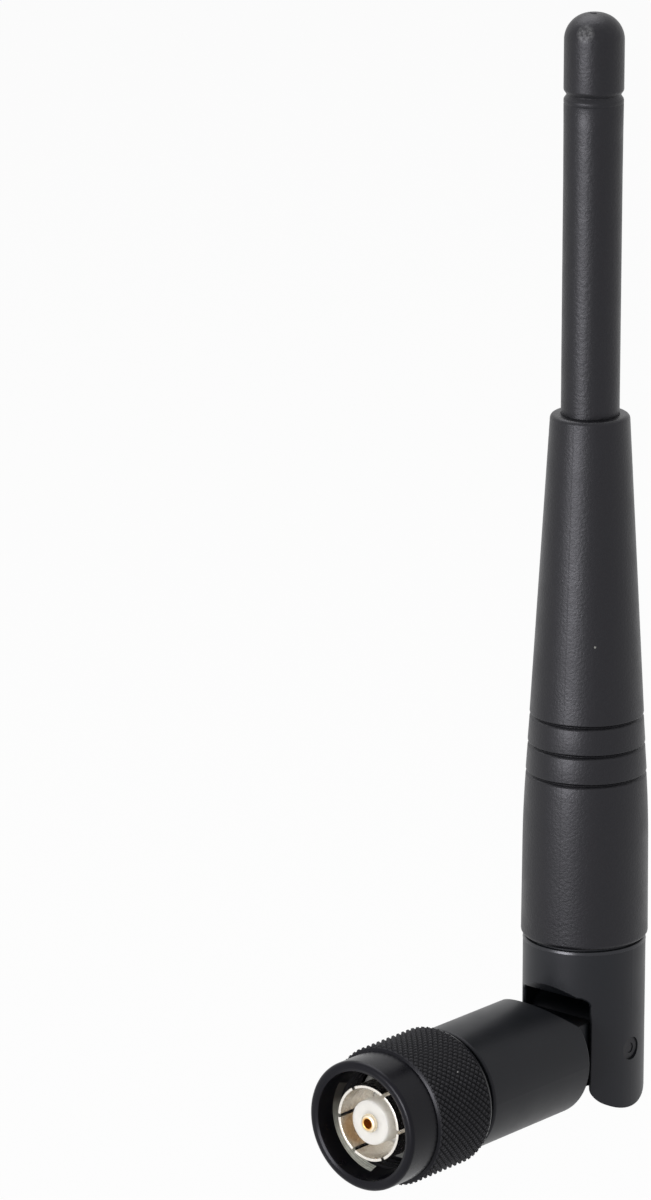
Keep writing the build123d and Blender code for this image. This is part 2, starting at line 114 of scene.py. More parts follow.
camera_data = bpy.data.cameras.new("camera")
camera_data.sensor_width = sensor_height
camera_data.lens = focal_pixels / picture_height * sensor_height
camera_data.clip_start = nearest_seen
camera = add_object("camera", camera_data)
turn = Matrix((camera_right, camera_up, towards_camera)).transposed()
camera.matrix_world = Matrix.Translation(camera_place) @ turn.to_4x4()
bpy.context.scene.camera = camera
bpy.context.scene.view_settings.view_transform = "Standard"
print("lens", round(camera_data.lens, 1), "mm")

# %% [markdown]
# Shader maths reads best as ordinary arithmetic. One small class wraps a socket, so that an expression such
# as 1 - mask adds its own Math node.

# %% A socket that arithmetic works on
class Socket:
    """A number that a shader works out. Python's operators on it add Math nodes."""

    def __init__(self, shading, output):
        self.shading = shading
        self.output = output

    def maths(self, operation, first, second):
        return self.shading.node("ShaderNodeMath", {"operation": operation}, {0: first, 1: second})

    def __add__(self, other):
        return self.maths("ADD", self, other)

    def __radd__(self, other):
        return self.maths("ADD", other, self)

    def __sub__(self, other):
        return self.maths("SUBTRACT", self, other)

    def __rsub__(self, other):
        return self.maths("SUBTRACT", other, self)

    def __mul__(self, other):
        return self.maths("MULTIPLY", self, other)

    def __rmul__(self, other):
        return self.maths("MULTIPLY", other, self)


print("socket ready")

# %% [markdown]
# A material and the world both hold a tree of nodes, so one class serves both. Its method adds any node.
# The settings go in first, because they can change which sockets the node has.

# %% A tree of nodes
class Shading:
    """The nodes of a material or of the world."""

    def __init__(self, tree):
        self.tree = tree

    def put(self, socket, value):
        """Link a worked-out value to a socket, or set a plain one."""
        if isinstance(value, Socket):
            self.tree.links.new(value.output, socket)
        else:
            socket.default_value = value

    def node(self, kind, settings=None, inputs=None, output=0):
        """Add a node: its settings first, then its inputs, and hand back one output."""
        made = self.tree.nodes.new(kind)
        for setting, value in (settings or {}).items():
            setattr(made, setting, value)
        for key, value in (inputs or {}).items():
            self.put(made.inputs[key], value)
        return Socket(self, made.outputs[output])

    def between(self, value, low, high, to_low=0.0, to_high=1.0):
        """Map a stretch of a value to another stretch, and hold it at the ends."""
        inputs = {"Value": value, "From Min": low, "From Max": high, "To Min": to_low, "To Max": to_high}
        return self.node("ShaderNodeMapRange", {"clamp": True}, inputs, "Result")

    def seen(self):
        """One or more where a camera, glossy or transmission ray arrives, and nought for other rays."""
        rays = ("Is Camera Ray", "Is Glossy Ray", "Is Transmission Ray")
        by_camera, by_gloss, by_glass = [self.node("ShaderNodeLightPath", output=ray) for ray in rays]
        return by_camera + by_gloss + by_glass


print("tree of nodes ready")

# %% [markdown]
# A finish is a material round one Principled shader. It could be wired by hand in the shader editor.
# Written as methods, the same few steps serve every finish: a place on the piece, noise of a real size, a
# mix of two colours, a soft spot and a bump. A Mix node has sockets for several kinds of value, and its
# colours are inputs 6 and 7 and output 2.

# %% A finish
mix_first, mix_second, mix_result = 6, 7, 2
noise_low, noise_high = 0.3, 0.7
spot_core_share = 0.6


class Finish(Shading):
    """A procedural material, built node by node round one Principled shader."""

    def __init__(self, name, **fixed):
        self.material = bpy.data.materials.new(name)
        self.material.use_nodes = True
        super().__init__(self.material.node_tree)
        self.shader = self.tree.nodes["Principled BSDF"]
        for socket_name, value in fixed.items():
            self.shader.inputs[socket_name.replace("_", " ")].default_value = value

    def feed(self, socket_name, value):
        """Give a socket of the shader its value."""
        self.put(self.shader.inputs[socket_name], value)

    def fed(self, socket_name):
        """What feeds a socket of the shader so far, to build on."""
        return Socket(self, self.shader.inputs[socket_name].links[0].from_socket)

    def place(self):
        """Where a point of the piece is, in metres."""
        return self.node("ShaderNodeTexCoord", output="Object")

    def along(self, letter):
        """How far a point is along X, Y or Z, in metres."""
        return self.node("ShaderNodeSeparateXYZ", None, {"Vector": self.place()}, letter)

    def noise(self, size, detail=2.0, roughness=0.5, place=None):
        """Soft noise whose blobs are about one size across, in metres."""
        where = place or self.place()
        inputs = {"Vector": where, "Scale": 1 / size, "Detail": detail, "Roughness": roughness}
        return self.node("ShaderNodeTexNoise", {"noise_dimensions": "3D"}, inputs, "Fac")

    def rings(self, size, detail=1.0, roughness=0.5):
        """Noise that changes only along the plug's axis, as turning marks do."""
        only_along = self.node("ShaderNodeCombineXYZ", None, {"Y": self.along("Y")})
        return self.noise(size, detail, roughness, only_along)

    def spread(self, noise, low=0.0, high=1.0):
        """Stretch the middle of a noise, where most of it lies, from low to high."""
        return self.between(noise, noise_low, noise_high, low, high)

    def blend(self, share, first, second):
        """Mix two colours."""
        colours = [colour if isinstance(colour, Socket) else (*colour, 1) for colour in (first, second)]
        inputs = {0: share, mix_first: colours[0], mix_second: colours[1]}
        return self.node("ShaderNodeMix", {"data_type": "RGBA"}, inputs, mix_result)

    def spot(self, centre, radius):
        """One inside a round spot about a point, fading out over its edge."""
        settings = {"operation": "DISTANCE"}
        away = self.node("ShaderNodeVectorMath", settings, {0: self.place(), 1: centre}, "Value")
        return self.between(away, spot_core_share * radius, radius, 1.0, 0.0)

    def relief(self, height, depth, under=None):
        """Raise the surface by a height map, depth metres high."""
        inputs = {"Height": height, "Strength": 1.0, "Distance": depth}
        if under is not None:
            inputs["Normal"] = under
        return self.node("ShaderNodeBump", None, inputs)


print("finish ready")

# %% [markdown]
# The boot, the whip and the cap are moulded in one matt black plastic. The tool was spark eroded, so the
# skin has a fine even grain. Object coordinates keep the grain at its real size. One function makes the
# skin for all three, a little finer on the boot than on the whip. An image could hold the grain, but noise
# has no seams and needs no unwrapping.

# %% The moulded plastic
boot_grain, boot_grain_depth = 0.30 * mm, 0.033 * mm
tip_grain, tip_grain_depth = 0.34 * mm, 0.036 * mm
mottle_size, patch_size = 2.4 * mm, 15 * mm
plastic_dark, plastic_light = (0.0015, 0.0015, 0.0025), (0.004, 0.004, 0.005)
black_gloss = {"IOR": 1.47, "Specular_Tint": (0.93, 0.92, 1.0, 1)}
moulded_level = 0.44


def mould_skin(name, size, depth):
    """The spark-eroded plastic: its colour, its uneven gloss and its grain."""
    finish = Finish(name, Specular_IOR_Level=moulded_level, **black_gloss)
    fine = finish.noise(size, 3.0, 0.6)
    broad = finish.noise(mottle_size)
    patchy = finish.noise(patch_size)
    finish.feed("Base Color", finish.blend(finish.spread(fine), plastic_dark, plastic_light))
    finish.feed("Roughness", finish.between(broad + patchy, 0.8, 1.2, 0.38, 0.45))
    finish.feed("Normal", finish.relief(fine + 0.3 * broad, depth))
    return finish


moulded = mould_skin("moulded_black", tip_grain, tip_grain_depth)
print("moulded plastic:", len(moulded.tree.nodes), "nodes")

# %% [markdown]
# A round spot on the cap's side, broken up by noise, is a painted highlight: a pale patch in the colour that
# stands in for a reflection of the light. It could be painted into an image, but a spot that is given by its
# place needs no image.

# %% The cap's painted highlight
cap_highlight_place, cap_highlight_radius = hinge + Vector((0.90, -2.60, 105.20)) * mm, 1.0 * mm
cap_highlight_break, cap_highlight_colour = 0.30 * mm, (0.105, 0.105, 0.108)

highlighted = mould_skin("moulded_cap", tip_grain, tip_grain_depth)
broken_up = highlighted.between(highlighted.noise(cap_highlight_break, 2.0, 0.6), 0.40, 0.58, 0.25, 1.0)
# The soft spot mixes a pale painted highlight into the cap's colour.
cap_highlight_share = highlighted.spot(cap_highlight_place, cap_highlight_radius) * broken_up
highlighted.feed("Base Color", highlighted.blend(cap_highlight_share, highlighted.fed("Base Color"), cap_highlight_colour))
print("scuffed cap:", len(highlighted.tree.nodes), "nodes")

# %% [markdown]
# The boot shows a faint parting line, where the halves of its mould met. It lies in a plane through the
# whip's axis, so the distance from that plane draws it, as a low ridge on top of the grain. One pale grain
# of dust sticks to the boot too. A modelled ridge would have to cross every groove, so a bump is simpler.

# %% The boot's parting line and dust
parting_width, parting_height = 0.16 * mm, 0.010 * mm
parting_angle = camera_azimuth - math.radians(25)
boot_speck, boot_dust = hinge + Vector((3.85, -3.69, 43.15)) * mm, (0.30, 0.30, 0.28)
speck_radius = 0.13 * mm

parted = mould_skin("moulded_boot", boot_grain, boot_grain_depth)
from_hinge = parted.along("Y") - hinge.y
off_plane = parted.along("X") * math.cos(parting_angle) + from_hinge * math.sin(parting_angle)
off_line = parted.node("ShaderNodeMath", {"operation": "ABSOLUTE"}, {0: off_plane})
parting_ridge = parted.between(off_line, 0.0, parting_width, 1.0, 0.0)
dust_share = parted.spot(boot_speck, speck_radius)
parted.feed("Base Color", parted.blend(dust_share, parted.fed("Base Color"), boot_dust))
parted.feed("Normal", parted.relief(parting_ridge, parting_height, parted.fed("Normal")))
print("boot's skin:", len(parted.tree.nodes), "nodes")

# %% [markdown]
# The knuckle and the elbow come from a smoother mould, so their grain is far finer. The barrel is a little
# less glossy than the knuckle, and the knuckle's top edge is polished, so one function makes all three.
# Without a little unevenness they would look like glass.

# %% The satin plastic
satin_grain, satin_grain_depth = 0.12 * mm, 0.004 * mm
satin_patch = 4.0 * mm
satin_dark, satin_light = (0.004, 0.005, 0.006), (0.007, 0.008, 0.010)


def satin_skin(name, gloss, low_roughness, high_roughness):
    """Smooth moulded plastic with faint, uneven rubbing."""
    finish = Finish(name, Specular_IOR_Level=gloss, **black_gloss)
    broad = finish.noise(satin_patch, 3.0)
    finish.feed("Base Color", finish.blend(broad, satin_dark, satin_light))
    finish.feed("Roughness", finish.spread(broad, low_roughness, high_roughness))
    finish.feed("Normal", finish.relief(finish.noise(satin_grain), satin_grain_depth))
    return finish


satin = satin_skin("satin_black", 0.38, 0.38, 0.46)
barrel_satin = satin_skin("satin_barrel", 0.27, 0.36, 0.44)
rim_satin = satin_skin("satin_rim", 0.55, 0.27, 0.34)
print("satin plastic:", len(satin.tree.nodes), "nodes")

# %% [markdown]
# The nut is turned brass under a black plating. The plating is thin and even, so the tool marks still show
# as faint rings, which are noise that changes only along the axis. The knurl's cut faces are rougher, and
# their plating is a paler copy: painted light that lifts the knurl out of its shade.

# %% The black plating
tool_marks, tool_mark_depth = 0.05 * mm, 0.003 * mm
plating_patch = 2.5 * mm
nut_speck, nut_dust = Vector((5.44, 7.36, 4.72)) * mm, (0.50, 0.50, 0.48)


def black_plating(name, dark, light, low_roughness, high_roughness, gloss):
    """Thin black plating over turned metal, with faint rings and one grain of dust."""
    finish = Finish(name, Specular_IOR_Level=gloss, **black_gloss)
    patch = finish.noise(plating_patch)
    dust = finish.spot(nut_speck, speck_radius)
    finish.feed("Base Color", finish.blend(dust, finish.blend(patch, dark, light), nut_dust))
    finish.feed("Roughness", finish.spread(patch, low_roughness, high_roughness))
    finish.feed("Normal", finish.relief(finish.rings(tool_marks), tool_mark_depth))
    return finish


plated = black_plating("black_plate", (0.003, 0.003, 0.005), (0.006, 0.006, 0.008), 0.26, 0.34, 0.19)
# The knurl's paler copy of the plating is painted light.
knurl_lightened = black_plating("black_knurl", (0.010, 0.010, 0.011), (0.015, 0.015, 0.017), 0.58, 0.68, 0.33)
print("black plating:", len(plated.tree.nodes), "nodes")

# %% [markdown]
# Inside the mouth, a highlight on the lead-in is painted as pale metal. Its streaks run round the axis.
# A mask by height keeps this painted highlight pale low down and fades it back to black further up.

# %% The painted highlight on the lead
highlight_blotch, highlight_streak, highlight_bump_depth = 0.5 * mm, 0.10 * mm, 0.004 * mm
highlight_full_below, highlight_gone_above = -3.2 * mm, 1.2 * mm
left_black = (0.06, 0.055, 0.05)
highlight_dull, highlight_bright = (0.42, 0.43, 0.38), (0.84, 0.86, 0.79)

# This finish paints the lamp's highlight on the lead as pale metal.
lead_highlight = Finish("lead_highlight_thread", Metallic=0.3)
blotch = lead_highlight.noise(highlight_blotch)
streaked = lead_highlight.between(blotch + 2.0 * lead_highlight.rings(highlight_streak), 1.2, 1.8)
# Painted shade by height: the highlight is full low down and gone further up.
lead_highlight_share = lead_highlight.between(lead_highlight.along("Z"), highlight_full_below, highlight_gone_above, 1.0, 0.0)
lead_highlight.feed("Base Color", lead_highlight.blend(lead_highlight_share, left_black, lead_highlight.blend(streaked, highlight_dull, highlight_bright)))
lead_highlight.feed("Roughness", lead_highlight.spread(blotch, 0.30, 0.42))
lead_highlight.feed("Normal", lead_highlight.relief(blotch, highlight_bump_depth))
print("worn metal:", len(lead_highlight.tree.nodes), "nodes")

# %% [markdown]
# The slotted contact is nickel plated and bright, and the centre contact is gold plated. Both are drawn and
# turned, so their roughness varies in rings along the plug's axis. At this size, rings in the roughness and
# the bump read as the marks of the tool.

# %% The plated metals
ring_size, smear_size, ring_depth = 0.06 * mm, 0.8 * mm, 0.002 * mm


def turned_metal(name, dull, bright, low_roughness, high_roughness):
    """A plated metal with fine turning marks round the plug's axis."""
    metal = Finish(name, Metallic=1.0)
    rings = metal.rings(ring_size, 2.0, 0.6)
    smear = metal.noise(smear_size, 3.0, 0.6)
    uneven = rings * 0.5 + smear * 0.5
    metal.feed("Base Color", metal.blend(smear, dull, bright))
    metal.feed("Roughness", metal.between(uneven, 0.35, 0.65, low_roughness, high_roughness))
    metal.feed("Normal", metal.relief(rings, ring_depth))
    return metal


nickel = turned_metal("nickel", (0.74, 0.70, 0.64), (0.90, 0.87, 0.81), 0.20, 0.34)
gold = turned_metal("gold_plate", (0.80, 0.44, 0.12), (0.88, 0.56, 0.20), 0.26, 0.38)
brass = turned_metal("brass", (0.70, 0.48, 0.20), (0.80, 0.60, 0.32), 0.22, 0.38)
spring_steel = turned_metal("spring_steel", (0.42, 0.42, 0.43), (0.58, 0.58, 0.58), 0.25, 0.40)
print("metals ready")

# %% [markdown]
# Two of the metals vary more. On one side of the contact's inside, a large soft spot paints a brown
# reflection of the nut's brass. The gold keeps its own colour deep in the socket's hole and has a pale
# painted highlight on its rim, so its colour follows the distance from the plug's axis.

# %% Painted reflection in the contact and painted highlight on the socket's rim
contact_reflection_place, contact_reflection_reach = Vector((-3.1, 1.8, -1.7)) * mm, 2.1 * mm
contact_reflection_colour = (0.78, 0.60, 0.40)
# A soft spot paints a brown reflection on one side of the contact's inside.
contact_reflection_share = nickel.spot(contact_reflection_place, contact_reflection_reach)
nickel.feed("Base Color", nickel.blend(contact_reflection_share, nickel.fed("Base Color"), contact_reflection_colour))

# Outside the hole the socket's rim gets a pale painted highlight.
deep_inside, gold_highlight_outside = 0.58 * mm, 0.74 * mm
gold_highlight_colour = (0.97, 0.86, 0.66)
across = gold.node("ShaderNodeVectorMath", {"operation": "MULTIPLY"}, {0: gold.place(), 1: (1, 0, 1)})
from_axis = gold.node("ShaderNodeVectorMath", {"operation": "LENGTH"}, {0: across}, "Value")
gold_highlight_share = gold.between(from_axis, deep_inside, gold_highlight_outside)
gold.feed("Base Color", gold.blend(gold_highlight_share, gold.fed("Base Color"), gold_highlight_colour))
print("gold:", len(gold.tree.nodes), "nodes")

# %% [markdown]
# The rest are soft or hidden: the waxy white insulator, the gasket, the cable's jacket, the braid and the
# heat-shrink. Each gets its own colour with some mottling, so that it is true when the whip is taken apart.
# The insulator is waxy because light enters it, so its shader scatters light below the surface.

# %% The soft finishes
def soft(name, dark, light, blob, low_roughness, high_roughness, bump, **fixed):
    """A soft or moulded finish: mottled colour, uneven gloss and a little relief."""
    finish = Finish(name, **fixed)
    mottle = finish.noise(blob, 3.0, 0.55)
    finish.feed("Base Color", finish.blend(mottle, dark, light))
    finish.feed("Roughness", finish.spread(mottle, low_roughness, high_roughness))
    finish.feed("Normal", finish.relief(finish.noise(blob / 8), bump))
    return finish


white = soft(
    "white_insulator", (0.82, 0.78, 0.72), (0.87, 0.84, 0.79), 1.2 * mm, 0.35, 0.5, 0.004 * mm,
    Subsurface_Weight=1.0, Subsurface_Scale=2.2 * mm, Subsurface_Radius=(1.0, 1.0, 1.0),
)
rubber = soft("grey_rubber", (0.10, 0.10, 0.095), (0.17, 0.17, 0.16), 0.8 * mm, 0.55, 0.7, 0.006 * mm)
pin_black = soft(
    "pin_black", (0.004, 0.004, 0.005), (0.007, 0.007, 0.009), 0.6 * mm, 0.3, 0.42, 0.004 * mm,
    Specular_IOR_Level=0.30, **black_gloss,
)
jacket = soft("cable_jacket", (0.24, 0.11, 0.045), (0.34, 0.17, 0.075), 1.0 * mm, 0.2, 0.32, 0.004 * mm)
core_white = soft("core_white", (0.80, 0.80, 0.78), (0.88, 0.88, 0.86), 0.8 * mm, 0.3, 0.45, 0.003 * mm)
bead = soft("bead", (0.70, 0.68, 0.60), (0.80, 0.78, 0.70), 0.9 * mm, 0.4, 0.55, 0.004 * mm)
shrink = soft("shrink_black", (0.012, 0.012, 0.012), (0.020, 0.020, 0.020), 0.9 * mm, 0.4, 0.55, 0.008 * mm)

wires_scale, wire_height = 900.0, 0.03 * mm
braid = Finish("braid", Metallic=1.0)
wires_lie = {"Vector": braid.place(), "Scale": wires_scale}
wires = braid.node("ShaderNodeTexWave", {"bands_direction": "DIAGONAL"}, wires_lie, "Fac")
braid.feed("Base Color", braid.blend(wires, (0.35, 0.34, 0.32), (0.75, 0.73, 0.70)))
braid.feed("Roughness", braid.between(wires, 0.0, 1.0, 0.45, 0.28))
braid.feed("Normal", braid.relief(wires, wire_height))
print("soft finishes ready")

# %% [markdown]
# Most pieces were turned or moulded round an axis, so one helper makes them. It draws the half section as
# one face, rounds its corners with a vertex bevel, keeps only the outline, and spins that right round.
# Points are (radius, place along the axis), in millimetres. A third number rounds the corner, from that far
# along its sides, and a fourth gives the steps of a large rounding. Screw and Bevel modifiers could do the
# same, but operators leave a finished mesh that can be measured at once.

# %% Turned pieces
turn_steps = 192
whole_turn = 2 * math.pi
axes = {
    "plug": (Vector((0, 0, 0)), Vector((0, 1, 0)), Vector((1, 0, 0))),
    "whip": (hinge, Vector((0, 0, 1)), Vector((1, 0, 0))),
}
close_together = 1e-7


def round_corner(mesh, corner, size, segments=4):
    """Round one corner of a section, starting size millimetres along both its sides."""
    bmesh.ops.bevel(
        mesh, geom=[corner], affect="VERTICES", offset=size * mm, offset_type="OFFSET", segments=segments,
        profile=0.5, material=-1,
    )


def half_section(mesh, axis, points):
    """Draw a closed half section as one face, and round the corners that ask for it."""
    centre, along, outwards = axes[axis]
    corners = []
    for radius, place, *rounding in points:
        corners.append(mesh.verts.new(centre + outwards * radius * mm + along * place * mm))
    mesh.faces.new(corners)
    for corner, (radius, place, *rounding) in zip(corners, points):
        if rounding:
            round_corner(mesh, corner, *rounding)


def carry_round(mesh, geom, centre, along, angle, steps, step=(0, 0, 0)):
    """Spin part of a mesh round an axis, moved on by step each time. A whole turn is joined up."""
    return bmesh.ops.spin(
        mesh, geom=geom, cent=centre, axis=along, angle=angle, steps=steps, dvec=step,
        use_merge=angle == whole_turn, use_duplicate=False, use_normal_flip=False,
    )


def spin_section(mesh, axis):
    """Spin the outline of the section right round its axis, and close it at the poles."""
    centre, along = axes[axis][:2]
    bmesh.ops.delete(mesh, geom=list(mesh.faces), context="FACES_ONLY")

    def on_axis(vertex):
        offset = vertex.co - centre
        return (offset - along * offset.dot(along)).length < close_together

    on_pole = [edge for edge in mesh.edges if all(on_axis(vertex) for vertex in edge.verts)]
    bmesh.ops.delete(mesh, geom=on_pole, context="EDGES")
    carry_round(mesh, list(mesh.verts) + list(mesh.edges), centre, along, whole_turn, turn_steps)
    bmesh.ops.remove_doubles(mesh, verts=list(mesh.verts), dist=close_together)


def piece(name, mesh, body, finish, replaced=(), flat_angle=35):
    """Turn a bmesh into a finished object that rides on a body and stands for what it replaces."""
    bmesh.ops.recalc_face_normals(mesh, faces=list(mesh.faces))
    for face in mesh.faces:
        face.smooth = True
    for edge in mesh.edges:
        edge.smooth = len(edge.link_faces) == 2 and edge.calc_face_angle(0) < math.radians(flat_angle)
    data = bpy.data.meshes.new(name)
    mesh.to_mesh(data)
    mesh.free()
    made = add_object(name, data)
    even = made.modifiers.new("even_normals", "WEIGHTED_NORMAL")
    even.keep_sharp = True
    data.materials.append(finish.material)
    if body:
        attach(made, body)
    if replaced:
        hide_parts(*replaced)
    print(name, len(data.polygons), "faces")
    return made


def turned(name, axis, points, body, finish, replaced=()):
    """A whole turned piece from its half section."""
    mesh = bmesh.new()
    half_section(mesh, axis, points)
    spin_section(mesh, axis)
    return piece(name, mesh, body, finish, replaced)


# %% [markdown]
# The boot is the big form of the picture. Its foot is nearly straight, then it tapers to the whip. The
# change of slope is so gentle that a wide corner rounding draws it. Three V grooves ring it for grip. A
# loft could make it too, but a turned section keeps the grooves exact.

# %% The boot
boot_low, boot_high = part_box("tapered_boot")
tube_low, tube_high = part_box("whip_tube")
boot_bottom, boot_top = boot_low.z / mm, boot_high.z / mm
boot_base_radius = (boot_high.x - boot_low.x) / 2 / mm
boot_waist_radius, boot_waist, waist_round = 6.40, 24.50, 2.8
boot_top_radius, boot_edge_round = 4.02, 0.45
boot_bore, neck_bore, neck_top = 2.99, 4.83, 20.30
groove_count, groove_top, groove_pitch = 3, 34.70, 3.02
groove_depth, groove_half_width, groove_lip_round, groove_floor_round = 0.34, 0.25, 0.07, 0.05


def boot_radius(place):
    """The radius of the straight taper at a place along the whip."""
    share = (place - boot_waist) / (boot_top - boot_waist)
    return boot_waist_radius + share * (boot_top_radius - boot_waist_radius)


boot_points = [(boot_bore, boot_top), (boot_top_radius, boot_top, boot_edge_round)]
for index in range(groove_count):
    groove = groove_top - index * groove_pitch
    radius = boot_radius(groove)
    boot_points += [
        (radius, groove + groove_half_width, groove_lip_round),
        (radius - groove_depth, groove, groove_floor_round),
        (radius, groove - groove_half_width, groove_lip_round),
    ]
boot_points += [
    (boot_waist_radius, boot_waist, waist_round),
    (boot_base_radius, boot_bottom, boot_edge_round),
    (neck_bore, boot_bottom),
    (neck_bore, neck_top),
    (boot_bore, neck_top),
]
turned("boot", "whip", boot_points, "whip", parted, ["tapered_boot"])

# %% [markdown]
# Under the boot, the knuckle's top edge catches the light as a bright crescent. It is a narrow polished
# cone that the mould left there, so a thin ring, leaning a little, lies round the knuckle's top. A bevel on
# the solid would be the other way, but the solid's mesh stays as it is.

# %% The knuckle's bright rim
knuckle_low, knuckle_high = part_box("knuckle")
knuckle_radius = (knuckle_high.x - knuckle_low.x) / 2 / mm
knuckle_top = 11.10
rim_height, rim_lean, rim_proud, rim_round = 0.36, 0.075, 0.035, 0.03
rim_sunk, rim_foot, rim_drop, rim_cover = 0.15, 0.06, 0.05, 0.01
rim_radius = knuckle_radius + rim_proud
turned("knuckle_rim", "whip", [
    (knuckle_radius - rim_sunk, knuckle_top - rim_height - rim_foot),
    (rim_radius, knuckle_top - rim_height, rim_round),
    (rim_radius - rim_lean, knuckle_top - rim_drop, rim_round),
    (knuckle_radius - rim_sunk, knuckle_top + rim_cover),
], "whip", rim_satin)

# %% [markdown]
# The whip tube is plain, apart from a slight flare at its end, a fine line scribed round it, and the groove
# where the cap was welded on. Booleans could cut these. Points in the section are cleaner, and they leave
# even rings.

# %% The tube
tube_radius, tube_bore, tube_end_radius = 2.96, 2.36, 3.00
tube_bottom, tip_seam = tube_low.z / mm, tube_high.z / mm
flare_length, flare_round = 6.0, 2.5
seam_radius, groove_radius = 2.88, 2.70
lip_drop, lip_round = 0.72, 0.10
seam_groove_drop, seam_groove_round = 0.27, 0.04
scribe_half_width, scribe_depth = 0.09, 0.05
scribe = tip_seam - 1.15
turned("tube", "whip", [
    (tube_bore, tube_bottom),
    (tube_radius, tube_bottom),
    (tube_radius, tip_seam - flare_length, flare_round),
    (tube_end_radius, scribe - scribe_half_width),
    (tube_end_radius - scribe_depth, scribe),
    (tube_end_radius, scribe + scribe_half_width),
    (tube_end_radius, tip_seam - lip_drop, lip_round),
    (groove_radius, tip_seam - seam_groove_drop, seam_groove_round),
    (seam_radius, tip_seam),
    (tube_bore, tip_seam),
], "whip", moulded, ["whip_tube"])

# %% [markdown]
# The cap is a dome on a short stub that sits in the tube. The dome is one very large corner rounding, in
# more steps than the small ones, and a narrow skirt leads down to the seam. Half a sphere would stand too
# high, because the real dome is a little flatter.

# %% The cap
cap_low, cap_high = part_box("tip_cap")
cap_bottom, cap_top = cap_low.z / mm, cap_high.z / mm
cap_radius, stub_radius = 3.015, 2.33
cap_skirt, skirt_round = 0.20, 0.10
dome_round, dome_steps = 2.70, 20
turned("cap", "whip", [
    (0, cap_bottom),
    (stub_radius, cap_bottom),
    (stub_radius, tip_seam),
    (seam_radius, tip_seam),
    (cap_radius, tip_seam + cap_skirt, skirt_round),
    (cap_radius, cap_top, dome_round, dome_steps),
    (0, cap_top),
], "whip", highlighted, ["tip_cap"])

# %% [markdown]
# On top of the dome stands the torn flash of the moulding gate: a thin bent ridge. A small disc, spun a
# third of a turn round the whip's axis, makes it, and its half that is sunk in the dome joins it to the
# cap. A bump would look flat here, because the ridge shows against the background.

# %% The gate's flash
flash_reach, flash_thickness, flash_sunk = 0.42 * mm, 0.11 * mm, 0.03 * mm
flash_start, flash_angle = math.radians(-150), math.radians(120)
flash_steps, flash_sides = 16, 12
flash_place = hinge + Vector((flash_reach, 0, cap_high.z - flash_sunk))
upright = Matrix.Rotation(math.pi / 2, 3, "X")
gate = bmesh.new()
bmesh.ops.create_circle(gate, cap_ends=True, segments=flash_sides, radius=flash_thickness)
bmesh.ops.rotate(gate, cent=(0, 0, 0), matrix=upright, verts=list(gate.verts))
bmesh.ops.translate(gate, vec=flash_place, verts=list(gate.verts))
bmesh.ops.rotate(gate, cent=hinge, matrix=Matrix.Rotation(flash_start, 3, "Z"), verts=list(gate.verts))
carry_round(gate, list(gate.faces), hinge, (0, 0, 1), flash_angle, flash_steps)
piece("cap_flash", gate, "whip", moulded)

# %% [markdown]
# The nut has four things to see: a smooth collar with a rounded mouth, the knurl, a rear rim, and the
# thread inside. The collar and the rims are one turned shell. The knurl sits on it as its own skin.

# %% The nut's sizes
nut_low, nut_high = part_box("coupling_nut")
nut_front, nut_rear = nut_low.y / mm, nut_high.y / mm
collar_radius, collar_length, collar_round = 6.70, 4.00, 0.45
grip_radius, knurl_depth = 7.22, 0.26
grip_bevel_radius, grip_bevel, grip_bevel_round = 7.10, 0.17, 0.03
rear_rim_radius, rear_rim_length, rear_rim_round = 7.05, 1.00, 0.05
rim_end_radius, rim_end, rim_end_round = 6.86, 0.55, 0.10
rear_edge_radius, rear_room, rear_edge_round = 6.40, 0.25, 0.05
mouth_radius, mouth_depth, lead_length = 5.65, 1.75, 1.25
mouth_edge_radius, mouth_bevel, mouth_round = 5.98, 0.13, 0.05
thread_crest, thread_root, thread_length, thread_room = 5.15, 5.56, 6.60, 0.10
relief_length, body_bore = 0.80, 5.05
grip_front, grip_rear = nut_front + collar_length, nut_rear - rear_rim_length
valley_radius = grip_radius - knurl_depth
lead_front = nut_front + mouth_depth
lead_rear = lead_front + lead_length
thread_end = nut_front + thread_length + relief_length
print("nut from", round(nut_front, 2), "to", round(nut_rear, 2), "mm")

# %% [markdown]
# The shell's section runs from the mouth along the collar, the knurl's seat and the rims, and back through
# the bore, where the thread's crest has its own step. Each outer edge has its own small rounding, because a
# perfectly sharp edge catches no light.

# %% The nut's shell
turned("nut", "plug", [
    (mouth_radius, nut_front + mouth_bevel, mouth_round),
    (mouth_edge_radius, nut_front, mouth_round),
    (collar_radius, nut_front, collar_round),
    (collar_radius, grip_front),
    (grip_bevel_radius, grip_front + grip_bevel, grip_bevel_round),
    (valley_radius, grip_front + grip_bevel),
    (valley_radius, grip_rear),
    (rear_rim_radius, grip_rear, rear_rim_round),
    (rim_end_radius, nut_rear - rim_end, rim_end_round),
    (rear_edge_radius, nut_rear - rear_room, rear_edge_round),
    (body_bore, nut_rear - rear_room),
    (body_bore, thread_end),
    (thread_root, thread_end),
    (thread_root, lead_rear + thread_room),
    (thread_crest, lead_rear + thread_room),
    (thread_crest, lead_rear),
    (mouth_radius, lead_front),
], "nut", plated, ["coupling_nut"])

# %% [markdown]
# The thread is a ridge wound round the inside of the bore. A Screw modifier could wind it. The spin
# operator does that too: it moves the profile a step along the axis each time it turns it.

